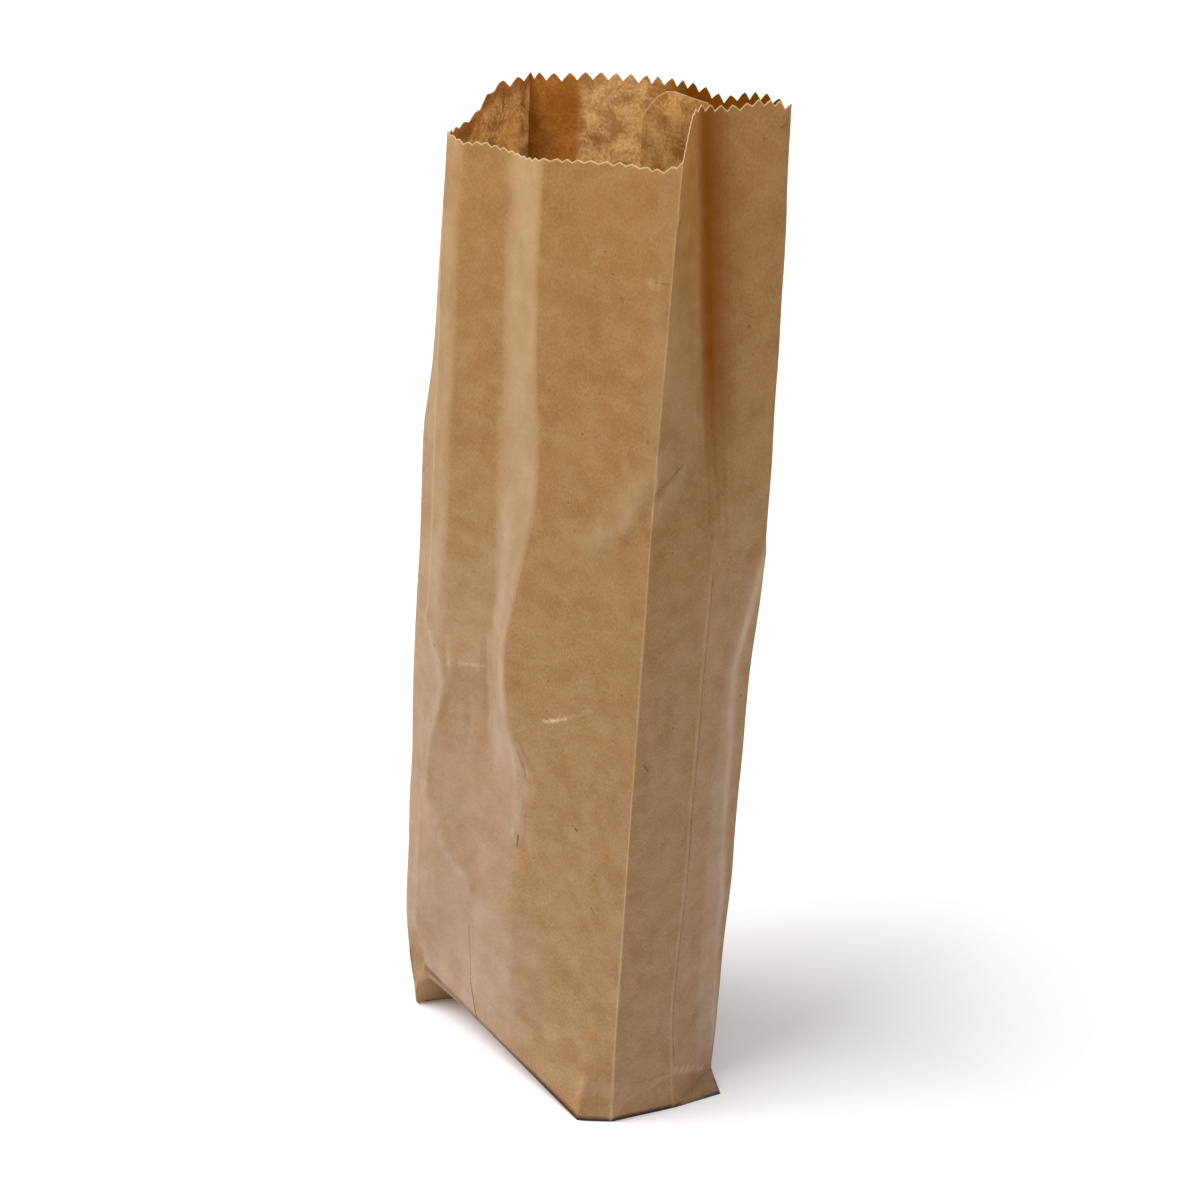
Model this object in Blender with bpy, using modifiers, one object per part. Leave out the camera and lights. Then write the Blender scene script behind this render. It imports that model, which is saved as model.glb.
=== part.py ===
"""Tall gusseted kraft paper bag, standing open, with a pinked mouth and a folded bottom.

One folded sheet: a front and a back panel, a gusset down each narrow side, and a bottom.
The outer surface is lofted through fold lines that run from the bottom edge to the mouth,
and the surface then gets the thickness of the paper.
Origin: on the floor, under the middle of the bag's width and depth. The front panel faces -Y.
"""
import bpy
import bmesh

MM = 0.001

# The sheet
PANEL_WIDTH = 108 * MM          # front and back panels, from crease to crease
GUSSET_WIDTH = 60 * MM          # each side gusset, opened flat
BAG_HEIGHT = 406 * MM           # floor to the tooth tips at the tallest corner, back right
PAPER_WALL = 0.3 * MM           # paper, with the thickness that a solid needs

# The mouth
LIP_DROP = 13.5 * MM            # the front is cut this much lower than the back
LEFT_LIP_SHARE = 0.3            # share of that drop left at the left gusset's middle fold
BACK_CROWN = 2 * MM             # the back panel's rim arches this much in its middle
LEFT_DROP = 13 * MM             # the left side stands this much lower than the right
TOOTH_PITCH = 6.35 * MM         # quarter-inch pinking
BACK_TOOTH_DEPTH = 3.3 * MM
FRONT_TOOTH_DEPTH = 1.8 * MM

# The bottom
EDGE_LIFT = 23 * MM             # front left corner of the bottom, off the floor
FOOT_WIDTH = 9 * MM             # gusset between the lifted corner and the foot beside it
FOOT_RUN = 10 * MM              # the underside rises from the foot over this width
CHAMFER_WIDTH = 11 * MM         # slanting corner at the right end of the front edge
BOTTOM_SLOPE_END = 0.85         # share of the bottom's depth over which the lift runs out

# How the open bag stands: each fold line is a list of (share of the height, shift to the
# right, shift to the back), in millimetres, from its place on a plain straight-sided box.
FRONT_LEFT_FOLD = [(0.00, 1.6, 4.6), (0.06, 1.6, 4.6), (0.12, 0.5, -0.5), (1.00, 1.0, -0.6)]
FRONT_BAND_LINE = [(0.00, 0.0, 1.0), (0.30, 0.0, -2.5), (1.00, 0.0, -3.5)]
FRONT_RIDGE = [(0.00, 0.0, -3.0), (0.30, 3.0, -6.0), (0.45, -7.0, -7.0), (0.63, 2.0, -7.0),
               (0.85, -1.5, -8.0), (1.00, 0.5, -11.0)]
CHAMFER_LINE = [(0.00, 0.0, -9.0), (0.04, 0.0, -4.5), (0.15, 0.0, -2.0), (1.00, 0.0, -3.0)]
FRONT_RIGHT_FOLD = [(0.00, -0.5, -0.6), (0.10, -1.3, -0.6), (0.65, -2.4, -0.6), (0.90, -1.5, -0.6),
                    (1.00, -0.5, -0.6)]
RIGHT_GUSSET_FOLD = [(0.00, 11.7, -5.2), (0.04, 10.5, -6.0), (0.12, 6.8, -4.0), (0.25, 7.6, -4.0),
                     (0.50, 7.0, -3.5), (0.60, 7.6, -4.0), (0.68, 0.5, -2.5), (0.75, -4.3, -2.0),
                     (1.00, -15.8, -1.5)]
BACK_RIGHT_FOLD = [(0.00, 18.5, -14.0), (0.012, 8.3, -5.5), (0.22, 9.2, -5.5), (0.45, 9.6, -5.5),
                   (0.575, 11.0, -5.5), (0.73, 9.4, -5.5), (1.00, 5.7, -7.6)]
BACK_MIDDLE = [(0.00, 0.0, 1.0), (0.50, 0.0, 2.0), (1.00, 0.0, 3.5)]
BACK_LEFT_FOLD = [(0.00, -1.0, -2.0), (0.50, -3.0, -6.0), (1.00, -2.0, -3.5)]
LEFT_GUSSET_FOLD = [(0.00, 11.0, 2.0), (0.06, 2.0, 1.0), (0.10, -6.0, 0.0), (0.20, -13.0, -2.0),
                    (0.60, -14.0, -2.0), (0.85, -10.0, 0.0), (1.00, -7.0, 2.0)]
LEFT_BULGE = [(0.00, -4.5, -1.0), (0.08, -7.5, -5.0), (0.15, -8.3, -6.0), (0.63, -8.3, -6.0),
              (0.72, -5.5, -5.0), (1.00, -3.0, -1.0)]

# Rings of the loft, as shares of the height
RING_HEIGHTS = [0.012, 0.04, 0.08, 0.13, 0.20, 0.28, 0.36, 0.44, 0.52, 0.59, 0.65, 0.71, 0.79, 0.88]
ROOT_RING_DROP = 3.0            # the last ring under the teeth, in tooth depths below the rim

PAPER_COLOUR = (0.435, 0.266, 0.130, 1.0)


def between(start, end, share):
    return start + (end - start) * share


def hermite(points, position):
    """Smooth curve through (position, value, ...) points; the values come back as a tuple."""
    if position <= points[0][0]:
        return tuple(points[0][1:])
    if position >= points[-1][0]:
        return tuple(points[-1][1:])
    index = 0
    while points[index + 1][0] < position:
        index += 1
    start, end = points[index], points[index + 1]
    span = end[0] - start[0]
    share = (position - start[0]) / span
    result = []
    for axis in range(1, len(start)):
        slope = (end[axis] - start[axis]) / span
        start_slope = slope
        end_slope = slope
        if index > 0:
            before = points[index - 1]
            start_slope = limited_slope(slope, (start[axis] - before[axis]) / (start[0] - before[0]))
        if index + 2 < len(points):
            after = points[index + 2]
            end_slope = limited_slope(slope, (after[axis] - end[axis]) / (after[0] - end[0]))
        value = (start[axis] * (1 + 2 * share) * (1 - share) ** 2
                 + start_slope * span * share * (1 - share) ** 2
                 + end[axis] * share ** 2 * (3 - 2 * share)
                 + end_slope * span * share ** 2 * (share - 1))
        result.append(value)
    return tuple(result)


def limited_slope(slope, neighbour):
    """Slope at a point between two stretches, level where they turn back, so none overshoots."""
    if slope * neighbour <= 0:
        return 0.0
    return 2 * slope * neighbour / (slope + neighbour)


def fold_point(line, right_share, back_share, height):
    """Plan position of a fold line at a height; the shares place it on the plain box."""
    shift_right, shift_back = hermite(line, height / BAG_HEIGHT)
    x = right_share * PANEL_WIDTH / 2 + shift_right * MM
    y = back_share * GUSSET_WIDTH / 2 + shift_back * MM
    return x, y


def chamfer_share():
    """Place of the chamfer's inner end along the front panel, from 0 to 1."""
    return 1 - CHAMFER_WIDTH / PANEL_WIDTH


def foot_share():
    """Place of the foot along the left half gusset, from 0 at the front crease to 1."""
    return FOOT_WIDTH / (GUSSET_WIDTH / 2)


def panel_columns():
    """Columns of a panel: two for each tooth."""
    return 2 * max(2, round(PANEL_WIDTH / TOOTH_PITCH))


def gusset_columns():
    """Columns of half a gusset: two for each tooth."""
    return 2 * max(2, round(GUSSET_WIDTH / 2 / TOOTH_PITCH))


def section_points(side, share, height):
    """Plan position on one side of the bag, at a share of its width and at a height."""
    if side == "front":
        chamfer = chamfer_share()
        lines = [
            (0.0,) + fold_point(FRONT_LEFT_FOLD, -1, -1, height),
            (0.3,) + fold_point(FRONT_BAND_LINE, -0.4, -1, height),
            (0.5,) + fold_point(FRONT_RIDGE, 0, -1, height),
            (chamfer,) + fold_point(CHAMFER_LINE, 2 * chamfer - 1, -1, height),
            (1.0,) + fold_point(FRONT_RIGHT_FOLD, 1, -1, height),
        ]
    elif side == "right_front":
        lines = [
            (0.0,) + fold_point(FRONT_RIGHT_FOLD, 1, -1, height),
            (1.0,) + fold_point(RIGHT_GUSSET_FOLD, 1, 0, height),
        ]
    elif side == "right_back":
        lines = [
            (0.0,) + fold_point(RIGHT_GUSSET_FOLD, 1, 0, height),
            (1.0,) + fold_point(BACK_RIGHT_FOLD, 1, 1, height),
        ]
    elif side == "back":
        lines = [
            (0.0,) + fold_point(BACK_RIGHT_FOLD, 1, 1, height),
            (0.5,) + fold_point(BACK_MIDDLE, 0, 1, height),
            (1.0,) + fold_point(BACK_LEFT_FOLD, -1, 1, height),
        ]
    elif side == "left_back":
        lines = [
            (0.0,) + fold_point(BACK_LEFT_FOLD, -1, 1, height),
            (1.0,) + fold_point(LEFT_GUSSET_FOLD, -1, 0, height),
        ]
    else:
        foot = foot_share()
        lines = [
            (0.0,) + fold_point(LEFT_GUSSET_FOLD, -1, 0, height),
            (1 - foot,) + fold_point(LEFT_BULGE, -1, foot - 1, height),
            (1.0,) + fold_point(FRONT_LEFT_FOLD, -1, -1, height),
        ]
    return hermite(lines, share)


def bottom_height(side, share):
    """Height of the bottom edge above the floor."""
    if side == "front" and share < chamfer_share():
        return EDGE_LIFT * (1 - share / chamfer_share())
    if side == "left_front" and share > 1 - foot_share():
        return EDGE_LIFT * (share - 1 + foot_share()) / foot_share()
    return 0.0


def bottom_point(side, share):
    """The bottom edge: the front edge is one straight line from the lifted corner."""
    height = bottom_height(side, share)
    if side == "front" and share < chamfer_share():
        along = share / chamfer_share()
        start = section_points("front", 0.0, EDGE_LIFT)
        end = section_points("front", chamfer_share(), 0.0)
        x = start[0] + (end[0] - start[0]) * along
        y = start[1] + (end[1] - start[1]) * along
    else:
        x, y = section_points(side, share, height)
    return x, y, height


def rim_height(side, share):
    """Height of the tooth tips: lower at the left, and lower along the front lip."""
    leftness = {"front": 1 - share, "right_front": 0.0, "right_back": 0.0,
                "back": share, "left_back": 1.0, "left_front": 1.0}[side]
    lip = {"front": 1.0, "right_front": 1 - share, "right_back": 0.0, "back": 0.0,
           "left_back": LEFT_LIP_SHARE * share ** 3,
           "left_front": between(LEFT_LIP_SHARE, 1.0, share)}[side]
    height = BAG_HEIGHT - LEFT_DROP * leftness - LIP_DROP * lip
    if side == "back":
        height += BACK_CROWN * 4 * share * (1 - share)
    return height


def tooth_depth(side):
    if side == "front":
        return FRONT_TOOTH_DEPTH
    return BACK_TOOTH_DEPTH


def bag_columns():
    """Every column round the bag, as (side, share), from the front left crease rightward."""
    counts = [("front", panel_columns()), ("right_front", gusset_columns()),
              ("right_back", gusset_columns()), ("back", panel_columns()),
              ("left_back", gusset_columns()), ("left_front", gusset_columns())]
    columns = []
    for side, count in counts:
        for step in range(count):
            columns.append((side, step / count))
    return columns


def column_heights(side, share, is_tip):
    """Heights of one column's points, from its bottom edge to the rim."""
    depth = tooth_depth(side)
    low = bottom_height(side, share)
    tips = rim_height(side, share)
    heights = [low]
    for ring in RING_HEIGHTS:
        heights.append(low + (tips - low) * ring)
    heights.append(tips - ROOT_RING_DROP * depth)
    heights.append(tips if is_tip else tips - depth)
    return heights


def add_walls(mesh, columns):
    """Loft the four sides; the columns' vertices come back, bottom edge first."""
    grid = []
    for number, (side, share) in enumerate(columns):
        is_tip = number % 2 == 1
        heights = column_heights(side, share, is_tip)
        column = [mesh.verts.new(bottom_point(side, share))]
        for height in heights[1:]:
            x, y = section_points(side, share, height)
            column.append(mesh.verts.new((x, y, height)))
        grid.append(column)
    for number, column in enumerate(grid):
        following = grid[(number + 1) % len(grid)]
        for ring in range(len(column) - 1):
            mesh.faces.new((column[ring], following[ring], following[ring + 1], column[ring + 1]))
    return grid


def add_bottom(mesh, edge):
    """Fill the bottom edge with a grid, hollow at the front left under the lifted edge."""
    long_count = panel_columns()
    short_count = 2 * gusset_columns()
    count = len(edge)
    front = edge[:long_count + 1]
    right = edge[long_count:long_count + short_count + 1]
    back = [edge[2 * long_count + short_count - step] for step in range(long_count + 1)]
    left = [edge[-step % count] for step in range(short_count + 1)]
    rows = [front]
    for row in range(1, short_count):
        depth = row / short_count
        lift = max(0.0, 1 - depth / BOTTOM_SLOPE_END)
        verts = [left[row]]
        for step in range(1, long_count):
            along = step / long_count
            across = between(front[step].co, back[step].co, depth)
            lengthwise = between(left[row].co, right[row].co, along)
            near = between(front[0].co, front[-1].co, along)
            far = between(back[0].co, back[-1].co, along)
            place = across + lengthwise - between(near, far, depth)
            past_foot = min(1.0, along * PANEL_WIDTH / FOOT_RUN)
            place.z = between(left[row].co.z, front[step].co.z * lift, past_foot)
            verts.append(mesh.verts.new(place))
        verts.append(right[row])
        rows.append(verts)
    rows.append(back)
    for row in range(short_count):
        for step in range(long_count):
            mesh.faces.new((rows[row][step], rows[row + 1][step],
                            rows[row + 1][step + 1], rows[row][step + 1]))


def center_over_origin(mesh):
    """Slide the surface sideways until its box stands centred over the origin."""
    for axis in (0, 1):
        places = [vert.co[axis] for vert in mesh.verts]
        middle = (min(places) + max(places)) / 2
        for vert in mesh.verts:
            vert.co[axis] -= middle


def paper_material():
    material = bpy.data.materials.new("kraft_paper")
    material.use_nodes = True
    shader = material.node_tree.nodes["Principled BSDF"]
    shader.inputs["Base Color"].default_value = PAPER_COLOUR
    shader.inputs["Roughness"].default_value = 0.75
    shader.inputs["Metallic"].default_value = 0.0
    return material


def add_bag(collection):
    mesh = bmesh.new()
    grid = add_walls(mesh, bag_columns())
    add_bottom(mesh, [column[0] for column in grid])
    center_over_origin(mesh)
    data = bpy.data.meshes.new("paper_bag")
    mesh.to_mesh(data)
    mesh.free()
    bag = bpy.data.objects.new("paper_bag", data)
    collection.objects.link(bag)
    wall = bag.modifiers.new("paper", "SOLIDIFY")
    wall.thickness = PAPER_WALL
    wall.offset = -1.0
    wall.use_even_offset = False
    wall.use_rim = True
    data.materials.append(paper_material())
    return bag


def main():
    for old in list(bpy.data.objects):
        bpy.data.objects.remove(old, do_unlink=True)
    collection = bpy.data.collections.new("paper_wine_bag")
    bpy.context.scene.collection.children.link(collection)
    add_bag(collection)


main()
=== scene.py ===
import math
import random

import bmesh
import bpy
import numpy as np
from mathutils import Euler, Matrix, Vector, noise


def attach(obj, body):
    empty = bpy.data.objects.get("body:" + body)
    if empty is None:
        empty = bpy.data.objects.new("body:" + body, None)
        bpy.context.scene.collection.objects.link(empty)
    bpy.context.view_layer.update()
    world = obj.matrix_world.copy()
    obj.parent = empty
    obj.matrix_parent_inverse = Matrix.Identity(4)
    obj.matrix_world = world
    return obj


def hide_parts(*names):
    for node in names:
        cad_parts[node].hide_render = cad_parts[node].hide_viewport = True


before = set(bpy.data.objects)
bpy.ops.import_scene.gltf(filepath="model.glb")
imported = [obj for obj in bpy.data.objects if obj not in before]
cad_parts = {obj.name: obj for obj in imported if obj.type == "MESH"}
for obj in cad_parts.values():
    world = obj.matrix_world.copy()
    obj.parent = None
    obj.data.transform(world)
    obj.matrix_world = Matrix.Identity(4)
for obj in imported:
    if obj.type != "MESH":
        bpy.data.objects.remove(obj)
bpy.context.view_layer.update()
mm = 0.001
print("stage: frame loaded")


# Camera, in the frame's metres: low tele lens from the front right and above
camera = {
    "place": (0.57195, -0.74879, 0.6439),
    "turn": 37.0,            # degrees round the bag, from straight in front
    "pitch": 25.0,           # degrees down
    "roll": 3.86,
    "lens": 81.0,
}


def addCamera():
    data = bpy.data.cameras.new("camera")
    data.lens = camera["lens"]
    data.sensor_width = 36.0
    data.clip_start = 0.01
    view = bpy.data.objects.new("camera", data)
    bpy.context.scene.collection.objects.link(view)
    aim = Euler((0, 0, math.radians(camera["turn"]))).to_matrix()
    aim @= Euler((math.radians(90 - camera["pitch"]), 0, 0)).to_matrix()
    aim @= Euler((0, 0, math.radians(camera["roll"]))).to_matrix()
    view.rotation_euler = aim.to_euler()
    view.location = camera["place"]
    bpy.context.scene.camera = view


addCamera()
print("stage: camera")


# The paper, in millimetres
paper = {
    "panelWidth": 108.0,     # front and back panels between their creases
    "gussetWidth": 60.0,
    "height": 406.0,
    "thickness": 0.25,
    "middle": (2.254, -3.206),   # the box's middle, before the bag is centred on the frame
    "panelColumns": 100,
    "gussetColumns": 28,     # half of a gusset
    "rows": 136,
    "edgeLift": 23.0,        # the lifted front left corner of the bottom
    "footWidth": 9.0,        # the left foot, back along the gusset
    "footRun": 10.0,         # and across the bottom, where it rises to the hollow
    "chamferWidth": 11.0,
    "slopeEnd": 0.85,        # share of the depth, where the lifted bottom is down again
    "leanEnd": 12,           # the lean to the bottom fold ends at one part in 12 of the height
}

# Fold lines, from the bottom edge to the mouth. Each key is (share of the height,
# shift right mm, shift back mm) from the line's place on a plain straight-sided box.
foldLines = {
    "frontLeft": [(0.00, 1.6, 4.6), (0.06, 1.6, 4.6), (0.12, 0.5, -0.5), (1.00, 1.0, -0.6)],
    "leftRoll": [(0.00, 0.0, 3.4), (0.08, 0.0, 2.4), (0.16, 0.0, -1.6), (0.36, 0.6, -2.2),
                 (0.44, 0.0, -2.9), (1.00, 0.0, -2.6)],
    "band": [(0.00, 0.0, 1.0), (0.18, 0.0, -1.2), (0.30, 0.0, -2.7), (0.42, 3.0, -2.6),
             (0.60, 2.0, -3.0), (1.00, 0.0, -3.3)],
    "ridge": [(0.00, 0.0, -2.6), (0.18, 2.0, -4.2), (0.32, 3.9, -6.0), (0.36, 0.8, -6.4),
              (0.387, -5.0, -6.6), (0.468, -9.0, -7.0), (0.517, -6.0, -7.0), (0.576, -1.3, -7.2),
              (0.63, 2.5, -7.4), (0.667, 2.5, -7.4), (0.77, -1.2, -7.8), (0.85, -1.6, -8.6),
              (1.00, 0.5, -11.0)],
    "chamfer": [(0.00, 0.0, -9.0), (0.04, 0.0, -4.5), (0.15, 0.0, -2.0), (1.00, 0.0, -3.0)],
    "frontRight": [(0.00, -0.5, -0.6), (0.10, -1.3, -0.6), (0.65, -2.4, -0.6), (0.90, -1.5, -0.6),
                   (1.00, -0.5, -0.6)],
    "gussetRight": [(0.00, 12.4, -5.2), (0.04, 10.5, -6.0), (0.12, 6.8, -4.0), (0.25, 7.6, -4.0),
                    (0.50, 7.0, -3.5), (0.60, 7.6, -4.0), (0.68, 0.5, -2.5), (0.75, -4.3, -2.0),
                    (1.00, -18.3, -1.5)],
    "backRight": [(0.00, 20.3, -14.6), (0.0075, 8.3, -5.5), (0.22, 9.2, -5.5), (0.45, 9.6, -5.5),
                  (0.575, 11.0, -5.5), (0.73, 9.4, -5.5), (1.00, 5.7, -7.6)],
    "backMiddle": [(0.00, 0.0, 1.0), (0.50, 0.0, 2.0), (1.00, 0.0, 3.5)],
    "backLeft": [(0.00, -1.0, -2.0), (0.50, -3.0, -6.0), (0.80, -5.5, -4.5), (1.00, -8.2, -3.5)],
    "gussetLeft": [(0.00, 11.0, 2.0), (0.06, 2.0, 1.0), (0.10, -6.0, 0.0), (0.20, -13.0, -2.0),
                   (0.60, -14.0, -2.0), (0.85, -10.0, 0.0), (1.00, -7.0, 2.0)],
    "leftBulge": [(0.00, -4.5, -1.0), (0.08, -7.5, -5.0), (0.15, -8.3, -6.0), (0.63, -8.3, -6.0),
                  (0.72, -5.5, -5.0), (1.00, -3.0, -1.0)],
}

# Which fold lines cross each side: (share of the side's width, line, place on the plain box)
chamferShare = 1 - paper["chamferWidth"] / paper["panelWidth"]
footShare = paper["footWidth"] / (paper["gussetWidth"] / 2)
sideLines = {
    "front": [(0.0, "frontLeft", -1, -1), (0.1, "leftRoll", -0.8, -1), (0.3, "band", -0.4, -1),
              (0.5, "ridge", 0, -1), (chamferShare, "chamfer", 2 * chamferShare - 1, -1),
              (1.0, "frontRight", 1, -1)],
    "rightFront": [(0.0, "frontRight", 1, -1), (1.0, "gussetRight", 1, 0)],
    "rightBack": [(0.0, "gussetRight", 1, 0), (1.0, "backRight", 1, 1)],
    "back": [(0.0, "backRight", 1, 1), (0.5, "backMiddle", 0, 1), (1.0, "backLeft", -1, 1)],
    "leftBack": [(0.0, "backLeft", -1, 1), (1.0, "gussetLeft", -1, 0)],
    "leftFront": [(0.0, "gussetLeft", -1, 0), (1 - footShare, "leftBulge", -1, footShare - 1),
                  (1.0, "frontLeft", -1, -1)],
}
crispness = {"front": 0.75, "rightFront": 0.0, "rightBack": 0.0, "back": 0.0,
             "leftBack": 0.0, "leftFront": 0.15}     # 1 folds the side flat between its lines

# Height of the tooth tips along each side: (share of the side's width, mm)
rimHeights = {
    "front": [(0.0, 381.6), (0.1, 380.4), (0.2, 382.4), (0.3, 382.4), (0.4, 382.8), (0.5, 385.1),
              (0.6, 386.9), (0.7, 388.4), (0.8, 389.7), (0.92, 390.0), (1.0, 394.0)],
    "rightFront": [(0.0, 394.0), (0.15, 397.0), (0.9, 405.2), (1.0, 405.9)],
    "rightBack": [(0.0, 405.9), (0.25, 405.4), (0.5, 406.0), (0.62, 407.8), (0.8, 407.7),
                  (1.0, 406.6)],
    "back": [(0.0, 406.6), (0.1, 407.3), (0.2, 404.9), (0.3, 401.0), (0.4, 402.1), (0.5, 401.6),
             (0.6, 400.4), (0.7, 398.9), (0.8, 397.0), (0.9, 394.4), (1.0, 392.6)],
    "leftBack": [(0.0, 392.6), (0.25, 392.2), (0.5, 391.6), (0.75, 392.2), (0.9, 389.2),
                 (1.0, 387.9)],
    "leftFront": [(0.0, 387.9), (0.125, 384.0), (0.25, 382.0), (0.4, 380.8), (0.7, 380.2),
                  (1.0, 381.6)],
}

# Tooth tips as shares of the side's width, or how many, and the deepest a gap may be in mm
toothTips = {
    "back": ([0.0, 0.05, 0.103, 0.155, 0.20, 0.262, 0.315, 0.37, 0.425, 0.465, 0.507, 0.56,
              0.598, 0.654, 0.703, 0.755, 0.808, 0.86, 0.915, 0.968, 1.0], 3.3),
    "leftBack": ([0.0, 0.32, 0.66, 1.0], 3.2),
    "leftFront": ([0.0, 0.2, 0.42, 0.6, 0.74, 0.88, 1.0], 1.8),
    "front": (24, 1.5),
    "rightFront": (8, 1.6),
    "rightBack": (8, 2.3),
}
blade = {
    "unevenness": 0.28,      # of the width of the teeth that are only counted
    "shallowest": 0.8,       # a gap's least share of the deepest
    "shallowestFront": 0.45,
    "bulge": 1.3,            # over 1 the teeth are convex
}


def hermite(points, position):
    # Smooth curve through (position, values...) that never overshoots a point
    if position <= points[0][0]:
        return points[0][1:]
    if position >= points[-1][0]:
        return points[-1][1:]
    index = 0
    while points[index + 1][0] < position:
        index += 1
    start, end = points[index], points[index + 1]
    span = end[0] - start[0]
    t = (position - start[0]) / span
    values = []
    for axis in range(1, len(start)):
        slope = (end[axis] - start[axis]) / span
        first, last = slope, slope
        if index > 0:
            before = points[index - 1]
            first = gentleSlope(slope, (start[axis] - before[axis]) / (start[0] - before[0]))
        if index + 2 < len(points):
            after = points[index + 2]
            last = gentleSlope(slope, (after[axis] - end[axis]) / (after[0] - end[0]))
        values.append(start[axis] * (1 + 2 * t) * (1 - t) ** 2 + first * span * t * (1 - t) ** 2
                      + end[axis] * t * t * (3 - 2 * t) + last * span * t * t * (t - 1))
    return values


def gentleSlope(slope, other):
    if slope * other <= 0:
        return 0.0
    return 2 * slope * other / (slope + other)


def straight(points, position):
    places = [point[0] for point in points]
    return [float(np.interp(position, places, [point[axis] for point in points]))
            for axis in range(1, len(points[0]))]


def planPoint(side, share, height):
    # Where the paper stands at a height, before its creases: x and y in mm
    lines = []
    for place, name, right, back in sideLines[side]:
        dx, dy = hermite(foldLines[name], height / paper["height"])
        lines.append((place, right * paper["panelWidth"] / 2 + dx,
                      back * paper["gussetWidth"] / 2 + dy))
    smooth = hermite(lines, share)
    flat = straight(lines, share)
    mix = crispness[side]
    return [smooth[0] + (flat[0] - smooth[0]) * mix, smooth[1] + (flat[1] - smooth[1]) * mix]


def bottomHeight(side, share):
    if side == "front" and share < chamferShare:
        return paper["edgeLift"] * (1 - share / chamferShare)
    if side == "leftFront" and share > 1 - footShare:
        return paper["edgeLift"] * (share - 1 + footShare) / footShare
    return 0.0


def bottomPoint(side, share):
    # The front bottom edge is one straight fold from the lifted corner to the chamfer
    if side == "front" and share < chamferShare:
        start = planPoint("front", 0.0, paper["edgeLift"])
        end = planPoint("front", chamferShare, 0.0)
        along = share / chamferShare
        return [start[0] + (end[0] - start[0]) * along, start[1] + (end[1] - start[1]) * along]
    return planPoint(side, share, bottomHeight(side, share))


# Sides in order round the bag, with where each one starts on the flat sheet (mm)
sides = [
    ("front", paper["panelColumns"], 0.0, 108.0),
    ("rightFront", paper["gussetColumns"], 108.0, 140.0),
    ("rightBack", paper["gussetColumns"], 140.0, 172.0),
    ("back", paper["panelColumns"], 172.0, 280.0),
    ("leftBack", paper["gussetColumns"], 280.0, 310.0),
    ("leftFront", paper["gussetColumns"], 310.0, 340.0),
]
startOf = {side: start for side, count, start, end in sides}
sheetRound = sides[-1][3]


def cutTeeth():
    # Tip places along the sheet in mm, each with the depth of its gaps
    random.seed(7)
    tips = []
    for side, count, start, end in sides:
        given, deepest = toothTips[side]
        if isinstance(given, int):
            uneven = blade["unevenness"]
            steps = [1 + random.uniform(-uneven, uneven) for step in range(given)]
            given = [sum(steps[:step]) / sum(steps) for step in range(given)] + [1.0]
        least = blade["shallowestFront"] if side == "front" else blade["shallowest"]
        for share in given[:-1]:
            tips.append((start + (end - start) * share, deepest * random.uniform(least, 1.0)))
    tips.append((sheetRound, tips[0][1]))
    return tips


def toothDrop(tips, place):
    # How far the cut lies below the tips: convex teeth with sharp gaps
    index = 0
    while tips[index + 1][0] < place:
        index += 1
    left, right = tips[index], tips[index + 1]
    half = (right[0] - left[0]) / 2
    middle = left[0] + half
    near = max(0.0, 1 - abs(place - middle) / half)
    return 0.5 * (left[1] + right[1]) * near ** blade["bulge"]


def spreadColumns(side, count):
    # Columns crowd towards the creases at both ends of a side
    shares = []
    for step in range(count):
        even = step / count
        shares.append(even - 0.25 * math.sin(2 * math.pi * even) / (2 * math.pi))
    return shares


def snapToTeeth(shares, start, end):
    # The nearest column moves to each tooth's tip and to each gap, so both stay sharp
    marks = [(tip[0] - start) / (end - start) for tip in tips if start <= tip[0] <= end]
    marks += [(low + high) / 2 for low, high in zip(marks[:-1], marks[1:])]
    for mark in marks:
        nearest = min(range(1, len(shares)), key=lambda index: abs(shares[index] - mark))
        if 0.001 < mark < 0.999:
            shares[nearest] = mark
    return shares


def layOutSheet():
    columns = []
    for side, count, start, end in sides:
        for share in snapToTeeth(spreadColumns(side, count), start, end):
            columns.append((side, share, start + (end - start) * share))
    columns.append(("leftFront", 1.0, sheetRound))
    lowest = [0.0, 0.0022, 0.0040, 0.0066]    # close rows carry the bottom fold's dark line
    highest = [0.9955, 0.9982, 1.0]           # and the bared edge of the cut
    steps = paper["rows"] - len(lowest) - len(highest)
    evens = [step / steps for step in range(steps + 1)]
    middle = [0.0105 + 0.9805 * (even - 0.035 * math.sin(4 * math.pi * even))
              for even in evens]
    return columns, lowest + middle + highest


tips = cutTeeth()
columns, rows = layOutSheet()


def standSheet():
    # The sheet's points as an array: column, row, xyz in mm; and each point's height on it
    points = np.zeros((len(columns), len(rows), 3))
    for c, (side, share, place) in enumerate(columns):
        low = bottomHeight(side, share)
        high = hermite(rimHeights[side], share)[0] - toothDrop(tips, place)
        foot = bottomPoint(side, share)
        for r, part in enumerate(rows):
            height = low + (high - low) * part
            x, y = planPoint(side, share, height)
            fade = max(0.0, 1 - part * paper["leanEnd"])
            if fade > 0:       # the lowest rows lean over to the straight bottom fold
                start = planPoint(side, share, low)
                x += (foot[0] - start[0]) * fade * fade
                y += (foot[1] - start[1]) * fade * fade
            points[c, r] = (x, y, height)
    return points


points = standSheet()
print("stage: sheet stood up", points.shape)

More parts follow.
